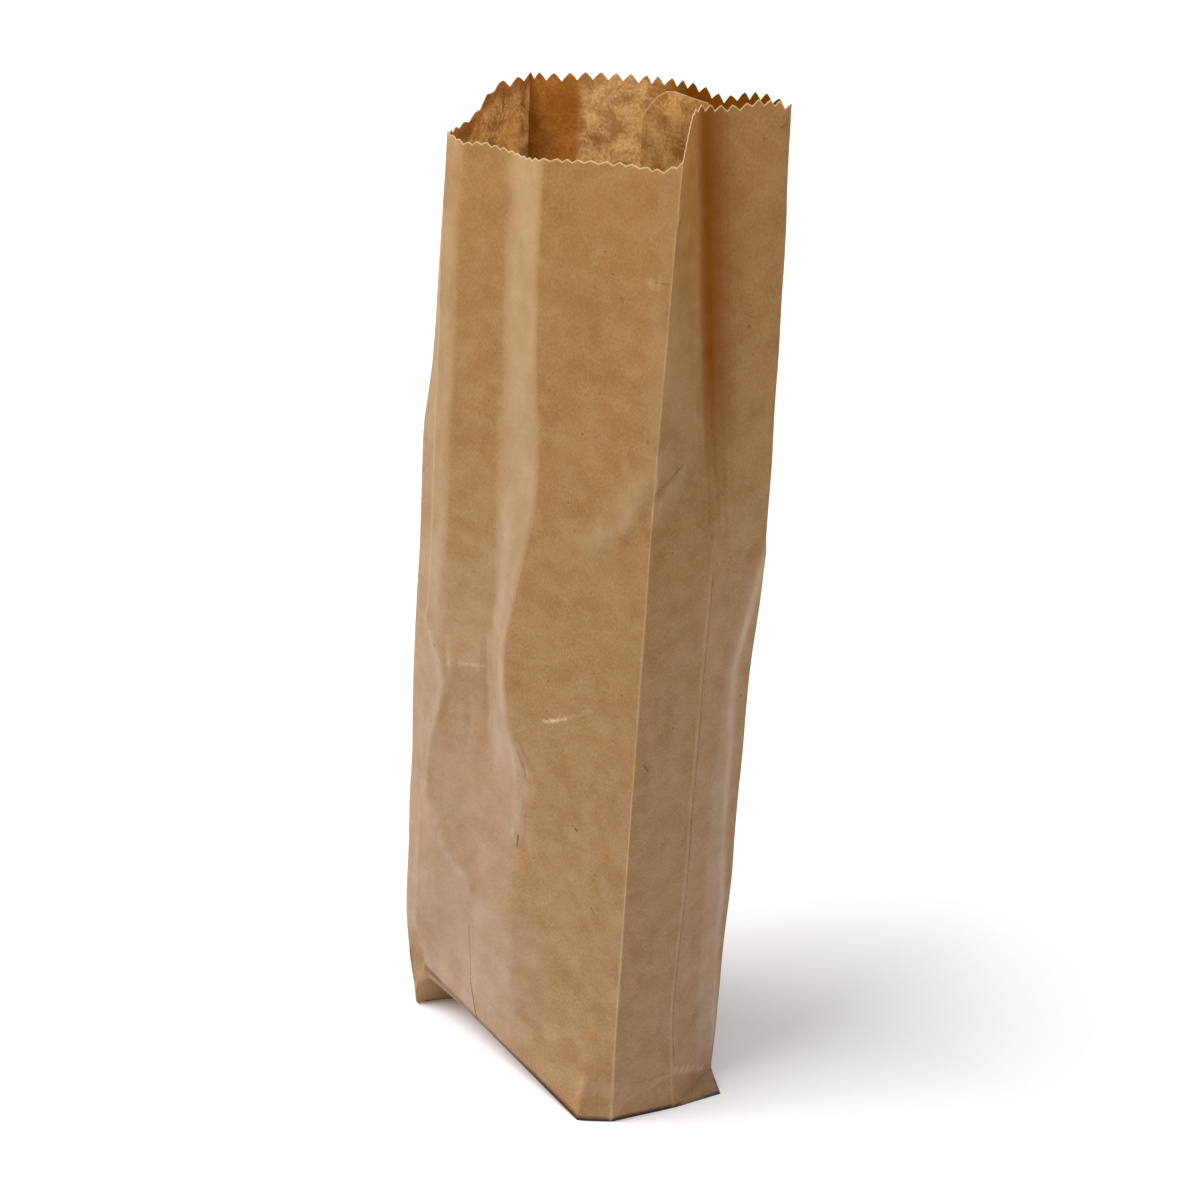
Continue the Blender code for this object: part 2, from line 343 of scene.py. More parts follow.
# Creases pressed into the sheet. Each has its points (mm along the sheet from the front
# left crease, mm up), its width to the left and right, how far it stands out, and how
# worn it is.
creases = [
    # the pale pinch mark at the middle of the front, and its two faint tails
    ([(69.6, 167.5), (74.4, 169.0), (78.5, 171.4)], 1.8, 1.8, 0.35, 0.0),
    ([(54.0, 155.5), (62.0, 158.0), (69.6, 166.5)], 2.5, 1.5, 0.30, 0.0),
    ([(78.5, 172.0), (83.8, 176.1), (90.2, 179.9), (97.0, 184.5)], 2.5, 1.5, 0.30, 0.0),
    # the ridge's lower end, where it breaks into a short hard fold
    ([(56.0, 152.0), (55.5, 145.2), (54.3, 131.5), (52.4, 110.0)], 7.0, 1.2, -0.9, 0.15),
    ([(51.5, 148.0), (50.5, 132.0), (50.0, 112.0)], 2.0, 2.0, 0.35, 0.15),
    # the buckle beside the front left crease
    ([(0.0, 188.0), (5.0, 181.0), (9.5, 174.0), (12.6, 165.0), (10.5, 154.0), (6.0, 137.0),
      (3.5, 122.0), (4.7, 109.0), (8.8, 96.6), (16.0, 90.3), (25.0, 82.8), (30.0, 78.0)],
     4.0, 6.0, 0.70, 0.0),
    ([(30.0, 78.0), (36.7, 88.0), (43.2, 97.8)], 5.0, 4.0, 0.5, 0.0),
    # small wrinkles above the buckle
    ([(14.6, 172.3), (21.0, 175.5), (28.0, 177.0)], 1.6, 1.6, 0.35, 0.0),
    ([(14.5, 184.0), (15.0, 176.0), (15.4, 165.0)], 1.8, 1.8, 0.35, 0.12),
    ([(29.0, 190.0), (29.5, 178.0), (32.0, 152.0)], 3.0, 2.0, -0.5, 0.0),
    ([(22.0, 168.0), (24.0, 150.0), (23.0, 138.0)], 2.0, 2.5, -0.4, 0.0),
    # nick in the front's right edge near the mouth
    ([(97.0, 349.5), (106.8, 349.7)], 1.2, 1.2, -0.4, 0.3),
    # slanting folds that run into the front right crease
    ([(84.0, 246.0), (95.7, 257.0), (108.0, 276.0)], 11.0, 3.6, 0.9, 0.0),
    ([(108.0, 262.0), (115.0, 271.6), (121.0, 276.0), (127.0, 280.0)], 4.0, 1.4, 0.45, 0.1),
    ([(97.0, 366.0), (108.0, 373.0)], 8.0, 2.0, 0.45, 0.05),
    # the bulge down the right gusset's back half, and the wrinkle beside it
    ([(167.0, 236.0), (157.0, 194.0), (156.6, 186.0), (159.0, 128.6), (164.0, 57.0),
      (166.0, 20.0)], 8.0, 6.0, 1.1, 0.0),
    ([(158.7, 158.5), (157.5, 155.0), (155.5, 151.0)], 1.6, 1.2, -0.7, 0.0),
    # the bottom's corners
    ([(97.2, 1.5), (95.6, 10.0), (97.2, 17.5), (101.5, 21.5), (105.0, 20.5), (108.0, 16.0)],
     3.0, 4.5, 0.70, 0.0),
    ([(108.5, 2.0), (112.5, 9.0), (121.0, 13.0), (131.0, 14.5), (139.0, 17.5)],
     3.5, 2.6, 0.6, 0.0),
    ([(140.5, 17.5), (148.0, 14.0), (156.0, 10.5), (163.0, 7.0)], 2.0, 2.0, 0.5, 0.25),
    ([(139.5, 17.2), (134.0, 15.5), (128.0, 13.0), (129.0, 6.0)], 3.0, 2.0, -0.4, 0.15),
]

# Broad dents: (mm along, mm up, half width, half height, mm out)
dents = [
    (26.0, 130.0, 15.0, 34.0, -1.6),
    (30.0, 290.0, 14.0, 60.0, -0.7),
    (70.0, 120.0, 22.0, 40.0, -0.8),
    (80.0, 320.0, 18.0, 40.0, -0.8),
    (76.0, 215.0, 16.0, 30.0, 0.6),
    (50.0, 60.0, 20.0, 26.0, 0.7),
    (22.0, 52.0, 9.0, 22.0, -0.6),
    (160.0, 330.0, 10.0, 50.0, 0.8),
    (124.0, 200.0, 9.0, 60.0, 0.5),
    (150.0, 90.0, 7.0, 40.0, -0.5),
]

# How the paper is worked all over, in mm
handling = {
    "press": 1.5,            # times a crease's own height
    "wearReach": 1.3,        # worn paper either side of a crease
    "ring": 54.0,            # radius on which the sheet closes, so that the waves meet
    "waves": (38.0, 15.0, 6.0),           # lengths: slow, middle and fine
    "waveHeights": (0.75, 0.42, 0.12),
    "quietFoot": 14.0,       # the waves die out below this height
    "heldFoot": 4.0,         # and all creases this near the bottom fold
}

# The right gusset's valley, rounded high up where it is loose
valley = {
    "fold": 140.0,           # mm along the sheet
    "reach": 14.0,           # mm either side
    "looseFrom": 235.0,      # mm up
    "looseRise": 40.0,
    "rounds": 70,            # of smoothing
    "deepest": 141.5,        # mm along, the line of its painted shade
    "deepFront": 4.4,        # mm that the painted shade spreads to the front, and to the back
    "deepBack": 8.5,
}


def sheetPlace(place):
    # Along the sheet, with the left front half gusset counted back from the front left crease
    return place - sheetRound if place > startOf["leftFront"] else place


def sheetSpots():
    # Each point of the sheet: column, row, side, share of its width, mm along and mm up
    for c, (side, share, at) in enumerate(columns):
        for r in range(len(rows)):
            yield c, r, side, share, at, points[c, r, 2]


def blankField():
    return np.zeros((len(columns), len(rows)))


def creaseLift(line, left, right, place, height):
    # A tent over a crease's line, with its own width on each side, and the distance to it
    best = 1e9
    sign = 1.0
    for (ax, ay), (bx, by) in zip(line[:-1], line[1:]):
        dx, dy = bx - ax, by - ay
        along = ((place - ax) * dx + (height - ay) * dy) / (dx * dx + dy * dy)
        along = min(1.0, max(0.0, along))
        px, py = place - ax - dx * along, height - ay - dy * along
        distance = math.hypot(px, py)
        if distance < best:
            best = distance
            sign = dx * py - dy * px
    width = left if sign > 0 else right
    return max(0.0, 1 - best / width), best


def creaseField():
    lift, wear = blankField(), blankField()
    for line, left, right, out, worn in creases:
        reach = max(left, right)
        lowPlace = min(point[0] for point in line) - reach
        highPlace = max(point[0] for point in line) + reach
        lowHeight = min(point[1] for point in line) - reach
        highHeight = max(point[1] for point in line) + reach
        for c, (side, share, at) in enumerate(columns):
            place = sheetPlace(at)
            if not lowPlace < place < highPlace:
                continue
            for r in range(len(rows)):
                height = points[c, r, 2]
                if not lowHeight < height < highHeight:
                    continue
                tent, distance = creaseLift(line, left, right, place, height)
                lift[c, r] += handling["press"] * out * tent * tent * (2.2 - 1.2 * tent)
                rubbed = max(0.0, 1 - distance / handling["wearReach"])
                wear[c, r] = max(wear[c, r], worn * rubbed)
    return lift, wear


def crumpleField():
    # Slow waves all over, with more and smaller ones where the paper has been handled
    lift = blankField()
    ringSize = handling["ring"]
    slowWave, middleWave, fineWave = handling["waves"]
    slowHeight, middleHeight, fineHeight = handling["waveHeights"]
    for c, r, side, share, at, height in sheetSpots():
        place = sheetPlace(at)
        angle = 2 * math.pi * at / sheetRound        # the sheet closes on itself
        ring = Vector((ringSize * math.cos(angle), ringSize * math.sin(angle), height))
        tall = Vector((ring.x, ring.y, 0.5 * height))
        slow = noise.noise(ring / slowWave)
        middle = noise.noise(tall / middleWave + Vector((9, 2, 5)))
        fine = noise.noise(tall / fineWave + Vector((4, 1, 7)))
        spread = ((place - 30) / 40) ** 2 + ((height - 150) / 70) ** 2
        lowerFront = 0.35 + 0.65 * math.exp(-spread)
        lift[c, r] = slowHeight * slow + lowerFront * (middleHeight * middle + fineHeight * fine)
        for px, py, wide, high, out in dents:
            spread = ((place - px) / wide) ** 2 + ((height - py) / high) ** 2
            if spread < 6:
                lift[c, r] += out * math.exp(-spread)
        lift[c, r] *= min(1.0, height / handling["quietFoot"])
    lift[-1] = lift[0]
    return lift


def softenFolds():
    # Round the gusset's valley where it is loose; heights stay, so the teeth stay sharp
    strength = blankField()
    for c, r, side, share, at, height in sheetSpots():
        loose = min(1.0, max(0.0, (height - valley["looseFrom"]) / valley["looseRise"]))
        strength[c, r] = loose * max(0.0, 1 - abs(at - valley["fold"]) / valley["reach"])
    shape = points.copy()
    for step in range(valley["rounds"]):
        middle = 0.5 * (shape[2:] + shape[:-2])
        shape[1:-1, :, :2] += (0.5 * strength[1:-1, :, None] * (middle - shape[1:-1]))[:, :, :2]
    return shape


def sheetNormals(shape):
    closed = np.concatenate([shape[-2:-1], shape, shape[1:2]], axis=0)
    across = closed[2:] - closed[:-2]
    up = np.gradient(shape, axis=1)
    normals = np.cross(across, up)
    length = np.linalg.norm(normals, axis=2, keepdims=True)
    return normals / np.maximum(length, 1e-9)


points = softenFolds()
creaseLifts, creaseWear = creaseField()
crumple = crumpleField()
bottomHold = np.clip((points[:, :, 2] - points[:, :1, 2]) / handling["heldFoot"], 0, 1)
points += sheetNormals(points) * ((creaseLifts + crumple) * bottomHold)[:, :, None]
points[-1] = points[0]
print("stage: creases pressed")


def smoothStep(low, high, value):
    t = min(1.0, max(0.0, (value - low) / (high - low)))
    return t * t * (3 - 2 * t)


def wearField():
    # Pale worn paper along the hard creases and on the bared edge of the cut
    wear = creaseWear.copy()
    for c, r, side, share, at, height in sheetSpots():
        place = sheetPlace(at)
        rub = 0.6 + 0.4 * noise.noise(Vector((place / 9, height / 9, 3)))
        worn = 0.5 * rub * max(0.0, 1 - abs(place - startOf["rightFront"]) / 0.8)
        if 185 < height < 350:
            worn = max(worn, 0.42 * rub * max(0.0, 1 - abs(place) / 0.8))
        if height < 245:
            worn = max(worn, 0.30 * rub * max(0.0, 1 - abs(place - 139.2) / 0.9))
        if r == len(rows) - 1 and (at < startOf["back"] or at > startOf["leftFront"]):
            worn = 1.0
        wear[c, r] = max(wear[c, r], worn)
    return wear


# Where the back is double, in mm along the sheet, and the share of light its layers stop, which
# also paints shade into the inside colour
seam = {
    "flapEnd": 236.5,        # the flap covers the back up to here
    "flapShade": 0.45,
    "curlEnd": 228.0,        # behind the flap's curled corner
    "curlFrom": 392.0,       # mm up
    "singleShade": 0.15,
    "lapFrom": 259.0,        # the lap's edge, and where it is fully dark
    "lapFull": 262.0,
    "lapShade": 0.90,
    "foldFrom": 264.0,       # the last of the back, as far as the left crease
    "foldEnd": 280.3,
    "foldShade": 0.95,
}


def shadeField():
    # Inside: where the glued seam makes two layers, less light comes through the paper; the same
    # values paint shade into the inside colour, darkest behind the flap's curl
    shade = blankField()
    for c, r, side, share, at, height in sheetSpots():
        if side not in ("back", "leftBack") or at >= seam["foldEnd"]:
            continue
        if at < seam["flapEnd"]:
            behind = height > seam["curlFrom"] and at < seam["curlEnd"]
            shade[c, r] = 1.0 if behind else seam["flapShade"]
        elif at < seam["foldFrom"]:
            into = (at - seam["lapFrom"]) / (seam["lapFull"] - seam["lapFrom"])
            into = min(1.0, max(0.0, into))
            shade[c, r] = seam["singleShade"] + (seam["lapShade"] - seam["singleShade"]) * into
        else:
            shade[c, r] = seam["foldShade"]
    return shade


# Painted highlights beside creases, where the facets catch the light: points, width left and
# right of their line, strength
sheenStrips = [
    ([(84.0, 246.0), (95.7, 257.0), (108.0, 276.0)], 12.0, 4.0, 0.85),
    ([(98.0, 366.0), (108.0, 373.0)], 9.0, 2.0, 0.5),
    ([(108.0, 262.0), (115.0, 271.6), (121.0, 276.0)], 1.0, 7.0, 0.3),
    ([(0.0, 188.0), (9.5, 174.0), (12.6, 165.0), (10.5, 154.0), (3.5, 122.0), (4.7, 109.0),
      (16.0, 90.3), (30.0, 78.0)], 3.5, 12.0, 1.0),
    ([(55.5, 152.0), (54.5, 132.0), (52.0, 112.0)], 1.0, 8.0, 0.9),
    ([(30.0, 78.0), (36.7, 88.0), (43.2, 97.8)], 7.0, 1.5, 0.5),
    ([(14.6, 172.3), (21.0, 175.5), (28.0, 177.0)], 2.0, 5.0, 0.5),
    ([(140.5, 17.5), (148.0, 14.0), (156.0, 10.5)], 2.0, 1.0, 0.4),
]


# Painted highlight: how pale each part of the outside is painted, for the sheen where it faces
# the light
paintedSheen = {
    "band": 0.80,            # left of the ridge
    "leftEdge": 0.70,
    "lowLeft": 0.62,
    "lowerFront": 0.36,         # the lower left of the front
    "rightEdge": 0.30,
    "bulge": 0.72,           # down the right gusset's back half
    "leftRoll": 0.60,        # round the front left crease, on the gusset
}
bulgeLine = ([20, 57, 128, 190, 236], [165, 163, 159, 159, 168])      # mm up, mm along


def sheenField():
    # Painted highlight: paper painted pale where its facets catch the light, for the glazed
    # paper's sheen
    pale = blankField()
    for c, r, side, share, at, height in sheetSpots():
        place = sheetPlace(at)
        value = 0.0
        if side == "front":
            band = smoothStep(0.27, 0.37, share) * (1 - smoothStep(0.495, 0.515, share))
            edge = 1 - smoothStep(0.05, 0.12, share)
            low = 1 - smoothStep(70, 96, height + 20 * abs(share - 0.28))
            lowerFront = (1 - smoothStep(0.44, 0.50, share)) * (1 - smoothStep(190, 250, height))
            right = smoothStep(0.88, 0.99, share) * smoothStep(255, 285, height)
            value = max(paintedSheen["band"] * band * smoothStep(118, 150, height),
                        paintedSheen["leftEdge"] * edge * smoothStep(60, 110, height),
                        paintedSheen["lowLeft"] * low * (1 - smoothStep(0.28, 0.74, share)),
                        paintedSheen["lowerFront"] * lowerFront, paintedSheen["rightEdge"] * right)
        elif side == "rightBack" and height < 245:
            middle = float(np.interp(height, *bulgeLine))
            ends = smoothStep(6, 24, height) * (1 - smoothStep(225, 243, height))
            value = paintedSheen["bulge"] * math.exp(-((at - middle) / 6.0) ** 4) * ends
        elif side == "leftFront":
            value = (paintedSheen["leftRoll"] * smoothStep(0.6, 0.9, share)
                     * smoothStep(28, 55, height))
        for line, left, right, most in sheenStrips:
            if abs(place - line[0][0]) < 55 and abs(height - line[0][1]) < 130:
                tent, distance = creaseLift(line, left, right, place, height)
                value = max(value, most * tent ** 1.4)
        cloudy = 0.9 + 0.5 * noise.noise(Vector((place / 11, height / 22, 8)))
        cloudy += 0.3 * noise.noise(Vector((place / 3, height / 5, 2)))
        pale[c, r] = min(1.0, max(0.0, value * cloudy))
    return pale


def valleyShadeField():
    # Painted shade: warm dark colour down in the gusset's valley, and a little over the right
    # gusset's front half
    valleyShade = blankField()
    for c, r, side, share, at, height in sheetSpots():
        if 128 < at < 158:
            off = at - valley["deepest"]
            spread = valley["deepFront"] if off < 0 else valley["deepBack"]
            valleyShade[c, r] = math.exp(-(off / spread) ** 2) * smoothStep(245, 320, height)
        if side == "rightFront":
            valleyShade[c, r] = max(valleyShade[c, r], 0.14 * smoothStep(120, 300, height))
    return valleyShade


def bottomShadeField():
    # Painted shade: the dark line along the fold round the bottom, on its lowest rows
    fold = blankField()
    for c, (side, share, at) in enumerate(columns):
        if side != "leftFront" or share < 0.6:
            fold[c, :3] = (1.0, 1.0, 0.6)
        if side == "rightBack":              # thinner towards the ear, where the rows lean out
            fold[c, :3] *= (1 - 0.6 * smoothStep(0.0, 0.3, share),
                            1 - smoothStep(0.0, 0.25, share), 0.0)
        if side == "back" and share < 0.08:
            fold[c, :3] = (0.4, 0.0, 0.0)
    return fold


# Inside, the line above which the folds at the mouth get painted shade: mm along, mm up
mouthLine = ([172, 205, 211, 226, 237], [392, 394, 396.5, 396, 396])


def mouthShadeField():
    # Inside: painted shade, warm and dark, in the folds at the mouth
    mouthShade = blankField()
    for c, r, side, share, at, height in sheetSpots():
        if side == "back":
            line = float(np.interp(at, *mouthLine))
            beside = 1 - smoothStep(219, 227, at)
            mouthShade[c, r] = smoothStep(line - 1.5, line + 0.5, height) * beside
        if startOf["leftBack"] < at < 334:
            mouthShade[c, r] = 0.6 * (1 - smoothStep(3, 9, points[c, -1, 2] - height))
    return mouthShade


def pocketShadeField():
    # Inside: painted shade in the pocket behind the flap's curl
    pocketShade = blankField()
    for c, r, side, share, at, height in sheetSpots():
        if side == "back":
            pocketShade[c, r] = 0.6 * smoothStep(393, 396, height) * (1 - smoothStep(220, 228, at))
    return pocketShade


fields = {
    "wear": wearField(),
    "shade": shadeField(),
    "pale": sheenField(),
    "valleyShade": valleyShadeField(),
    "fold": bottomShadeField(),
    "mouthShade": mouthShadeField(),
    "pocketShade": pocketShadeField(),
}


def between(start, end, share):
    return start + (end - start) * share


def paintSheet(mesh, values, places):
    # Gives each vertex its values, and its place on the flat sheet as the UV map
    for name, numbers in values.items():
        attribute = mesh.attributes.new(name, "FLOAT", "POINT")
        attribute.data.foreach_set("value", numbers)
    uv = mesh.uv_layers.active or mesh.uv_layers.new(name="sheet")
    uv.name = "sheet"
    for loop in mesh.loops:
        uv.data[loop.index].uv = places[loop.vertex_index]


def addSheet(name, across, up):
    bpy.ops.object.select_all(action="DESELECT")
    bpy.ops.mesh.primitive_grid_add(x_subdivisions=across, y_subdivisions=up, size=1)
    bpy.context.object.name = name
    return bpy.context.object


def buildSheet():
    # A flat grid takes the places of the standing sheet, then its bottom is folded shut
    bag = addSheet("kraftBag", len(columns) - 1, len(rows) - 1)
    mesh = bag.data
    lowest = min(vert.co.x for vert in mesh.vertices)
    wide = max(vert.co.x for vert in mesh.vertices) - lowest
    grid = np.zeros((len(mesh.vertices), 2), dtype=int)
    for vert in mesh.vertices:
        grid[vert.index] = (round((vert.co.x - lowest) / wide * (len(columns) - 1)),
                            round((vert.co.y - lowest) / wide * (len(rows) - 1)))
    places = points[grid[:, 0], grid[:, 1]].copy()
    places[:, 0] -= paper["middle"][0]
    places[:, 1] -= paper["middle"][1]
    mesh.vertices.foreach_set("co", (places * mm).ravel())
    paintSheet(mesh, {name: field[grid[:, 0], grid[:, 1]] for name, field in fields.items()},
               [(columns[c][2] * mm, points[c, r, 2] * mm) for c, r in grid])
    foldBottom(mesh, grid)
    return bag


# The seam's inner flap: its free edge is curled in at the mouth, away from the back panel
flap = {
    "from": 209.0,           # mm along the sheet, behind the gusset
    "to": 236.8,
    "low": 12.0,             # mm up, where it starts
    "top": ([209, 214, 218, 222, 226, 230, 233, 236.8],
            [397.0, 397.6, 398.2, 398.3, 397.4, 394.8, 391.5, 385.0]),
    "gap": 0.45,             # mm, where it is glued
    "curl": 4.2,             # mm
    "curlFrom": 355.0,       # mm up, where it comes loose, and where the curl is full
    "curlFull": 395.0,
    "ripple": 0.5,           # mm, in the loose part
    "shade": 0.15,
    "wear": 0.6,             # of its cut edges
    "columns": 36,
    "rows": 60,
}


def flapLift(at, across, height):
    # How far the flap stands off the back panel, in mm
    middle = math.sin(math.pi * min(1.0, across / 0.82)) if across < 0.82 else 0.0
    loose = smoothStep(flap["curlFrom"], flap["curlFull"], height) ** 1.5
    lift = flap["gap"] + flap["curl"] * (0.25 + 0.75 * middle) * loose
    ripple = flap["ripple"] * noise.noise(Vector((at / 6, height / 9, 1)))
    return lift + ripple * smoothStep(345, 365, height) * middle


def buildFlap():
    piece = addSheet("seamFlap", flap["columns"], flap["rows"])
    mesh = piece.data
    normals = sheetNormals(points)
    places = np.array([column[2] for column in columns])
    wear = []
    sheet = []
    for vert in mesh.vertices:
        across, up = vert.co.x + 0.5, vert.co.y + 0.5
        at = between(flap["from"], flap["to"], across)
        top = float(np.interp(at, *flap["top"]))
        height = top - (top - flap["low"]) * (1 - up) ** 2
        c = int(np.argmin(abs(places - at)))
        near = sorted((c, c + 1 if places[c] < at else c - 1))
        mix = (at - places[near[0]]) / (places[near[1]] - places[near[0]])
        column = between(points[near[0]], points[near[1]], mix)
        inward = -between(normals[near[0]], normals[near[1]], mix)
        lift = flapLift(at, across, height)
        for axis in (0, 1):
            base = float(np.interp(height, column[:, 2], column[:, axis]))
            out = float(np.interp(height, column[:, 2], inward[:, axis]))
            vert.co[axis] = (base + out * lift - paper["middle"][axis]) * mm
        vert.co.z = height * mm
        sheet.append((at * mm, height * mm))
        edge = max(smoothStep(top - 0.8, top, height), 0.4 * smoothStep(0.97, 1.0, across))
        wear.append(flap["wear"] * edge)
    plain = [0.0] * len(wear)
    paintSheet(mesh, {"wear": wear, "shade": [flap["shade"]] * len(wear), "mouthShade": plain,
                      "pocketShade": plain}, sheet)
    return piece


def foldBottom(mesh, grid):
    # The bottom spans the lower edge, hollow at the front left under the lifted fold
    work = bmesh.new()
    work.from_mesh(mesh)
    work.verts.ensure_lookup_table()
    uv = work.loops.layers.uv.active
    edge = [None] * (len(columns) - 1)
    for index, (c, r) in enumerate(grid):
        if r == 0 and c < len(columns) - 1:
            edge[c] = work.verts[index]
    longCount = paper["panelColumns"]
    shortCount = 2 * paper["gussetColumns"]
    count = len(edge)
    front = edge[:longCount + 1]
    right = edge[longCount:longCount + shortCount + 1]
    back = [edge[2 * longCount + shortCount - step] for step in range(longCount + 1)]
    left = [edge[-step % count] for step in range(shortCount + 1)]
    lines = [front]
    for row in range(1, shortCount):
        depth = row / shortCount
        lift = max(0.0, 1 - depth / paper["slopeEnd"])
        line = [left[row]]
        for step in range(1, longCount):
            along = step / longCount
            place = (between(front[step].co, back[step].co, depth)
                     + between(left[row].co, right[row].co, along)
                     - between(between(front[0].co, front[-1].co, along),
                               between(back[0].co, back[-1].co, along), depth))
            pastFoot = min(1.0, along * paper["panelWidth"] / paper["footRun"])
            place.z = between(left[row].co.z, front[step].co.z * lift, pastFoot)
            line.append(work.verts.new(place))
        line.append(right[row])
        lines.append(line)
    lines.append(back)
    for row in range(shortCount):
        for step in range(longCount):
            face = work.faces.new((lines[row][step], lines[row + 1][step],
                                   lines[row + 1][step + 1], lines[row][step + 1]))
            for loop in face.loops:
                loop[uv].uv = (loop.vert.co.x - 1, loop.vert.co.y)
    bmesh.ops.remove_doubles(work, verts=work.verts, dist=2e-6)
    work.to_mesh(mesh)
    work.free()
    mesh.update()


bag = buildSheet()
innerFlap = buildFlap()
print("stage: sheet meshed", len(bag.data.polygons))


def toLinear(hexColour):
    parts = [int(hexColour[at:at + 2], 16) / 255 for at in (0, 2, 4)]
    return tuple(part / 12.92 if part <= 0.04045 else ((part + 0.055) / 1.055) ** 2.4
                 for part in parts) + (1.0,)


def addNode(owner, kind, settings=None, inputs=None):
    # Adds one node to a material or world; inputs holds values, or sockets to link from
    node = owner.node_tree.nodes.new("ShaderNode" + kind)
    for name, value in (settings or {}).items():
        setattr(node, name, value)
    for name, value in (inputs or {}).items():
        if isinstance(value, bpy.types.NodeSocket):
            owner.node_tree.links.new(value, node.inputs[name])
        else:
            node.inputs[name].default_value = value
    return node


# Kraft paper: unbleached pulp, machine glazed on the outside. It gives the eye a cloudy brown
# with pale patches, short fibres, small specks of bark, and a faint sheen at low angles.
kraft = {
    "outside": ("a57e51", "9c7444", "b3926b"),       # middle, cloud and pale colours
    "inside": ("bb9261", "946a38", "d6b696"),
    # The flap's colours are painted light: warmer than the inside, for the light that comes
    # through the back panel and the flap
    "flap": ("cb9154", "aa7432", "e0b484"),
    "doubledShade": "b06a04",      # painted shade inside, where two layers stop the light
    "doubledShadeMost": 0.88,
    # painted highlight on the outside, for the glazed paper's sheen where facets face the light
    "sheenPale": "c3ad9c",
    "sheenPaleMost": 0.50,
    "valley": "7c460a",       # painted shade in the gusset's valley, and in the folds at the mouth, inside
    "valleyMost": 0.86,
    "lowTint": (1.08, 1.07, 1.18),    # greyer at the bottom, warmer towards the mouth
    "highTint": (1.00, 0.93, 0.64),
    "tintFrom": 40.0,         # mm up
    "tintTo": 360.0,
    "worn": "dcc3a4",
    "fleckAndShade": "40200f",         # dark flecks, and painted shadow in the seam's slit, the bottom fold's dark line and the pocket
    "speck": "4b3018",
    "cut": "e3cbaa",          # the bared pulp of the cut, and its darker parts
    "cutDark": "c9a67c",
    "roughness": 0.42,        # outside, inside and on the cut
    "roughnessInside": 0.8,
    "roughnessCut": 0.85,
    "sheen": 0.3,
    "letThrough": 1.0,        # how far thin paper passes light
    "letThroughDouble": 0.15,
    "reach": 1.2,             # mm that light runs in the pulp, and its red, green and blue
    "reachColour": (1.0, 0.88, 0.76),
    "cloud": 22.0,            # mm, patches of thicker pulp
    "patch": 9.0,             # mm
    "crumple": 9.0,           # mm between the pale lines inside, where the paper was crushed
    "mottle": 1.2,            # mm
    "fibre": 0.55,            # mm across a bundle, drawn coarser than life so that it shows
    "fibreLength": 2.5,       # times its width
    "relief": 0.12,           # mm
    "speckGap": 11.0,         # mm
    "wander": 1.6,            # mm that the small marks stray
}


# Small marks on the outside, as strokes: from and to (mm along the sheet, mm up), half width
# mm, strength, colour. Worn pinches are pale and bark flecks dark; the dark strokes along nicks,
# creases and the seam's open slit are painted shadow.
marks = [
    (70.8, 167.0, 74.4, 168.7, 1.3, 0.8, "worn"),
    (74.0, 168.6, 78.5, 171.1, 1.0, 0.8, "worn"),
    (54.0, 155.5, 70.8, 167.0, 1.2, 0.12, "worn"),
    (78.5, 171.1, 88.0, 178.2, 1.2, 0.18, "worn"),
    (18.9, 174.1, 28.7, 177.0, 1.1, 0.34, "worn"),
    (12.5, 184.0, 13.6, 172.0, 1.1, 0.22, "worn"),
    (52.9, 138.0, 51.2, 115.0, 1.2, 0.25, "worn"),
    (80.4, 125.2, 81.3, 125.0, 0.6, 0.95, "fleckAndShade"),
    (79.0, 126.4, 79.5, 126.2, 0.4, 0.6, "fleckAndShade"),
    (113.1, 160.3, 115.3, 157.3, 0.35, 0.8, "fleckAndShade"),
    (91.0, 93.9, 92.9, 91.7, 0.32, 0.8, "fleckAndShade"),
    (94.0, 94.4, 95.0, 93.6, 0.32, 0.6, "fleckAndShade"),
    (51.7, 112.0, 51.8, 106.7, 0.4, 0.8, "fleckAndShade"),
    (87.8, 341.2, 88.4, 340.4, 0.9, 0.35, "fleckAndShade"),
    (163.0, 394.1, 163.3, 393.7, 0.7, 0.5, "fleckAndShade"),
    (167.2, 176.6, 167.4, 176.0, 0.6, 0.7, "fleckAndShade"),
    (102.6, 290.8, 102.9, 290.2, 1.0, 0.35, "fleckAndShade"),
    (144.7, 265.8, 145.1, 264.9, 1.1, 0.3, "fleckAndShade"),
    (6.8, 177.8, 7.0, 177.4, 0.5, 0.6, "fleckAndShade"),
    (168.8, 398.1, 170.6, 399.2, 0.6, 0.4, "fleckAndShade"),
    (101.2, 349.8, 107.7, 350.3, 0.4, 0.3, "fleckAndShade"),
    (108.2, 270.6, 123.7, 279.6, 0.4, 0.4, "fleckAndShade"),
    (115.7, 16.4, 138.7, 16.9, 0.4, 0.22, "fleckAndShade"),
    (140.6, 24.0, 140.6, 236.0, 0.5, 0.42, "fleckAndShade"),
    (29.4, 58.0, 30.6, 30.0, 0.36, 0.5, "fleckAndShade"),
    (30.6, 30.0, 33.3, 19.0, 0.42, 0.85, "fleckAndShade"),
    (33.3, 19.0, 36.2, 11.0, 0.48, 0.95, "fleckAndShade"),
]


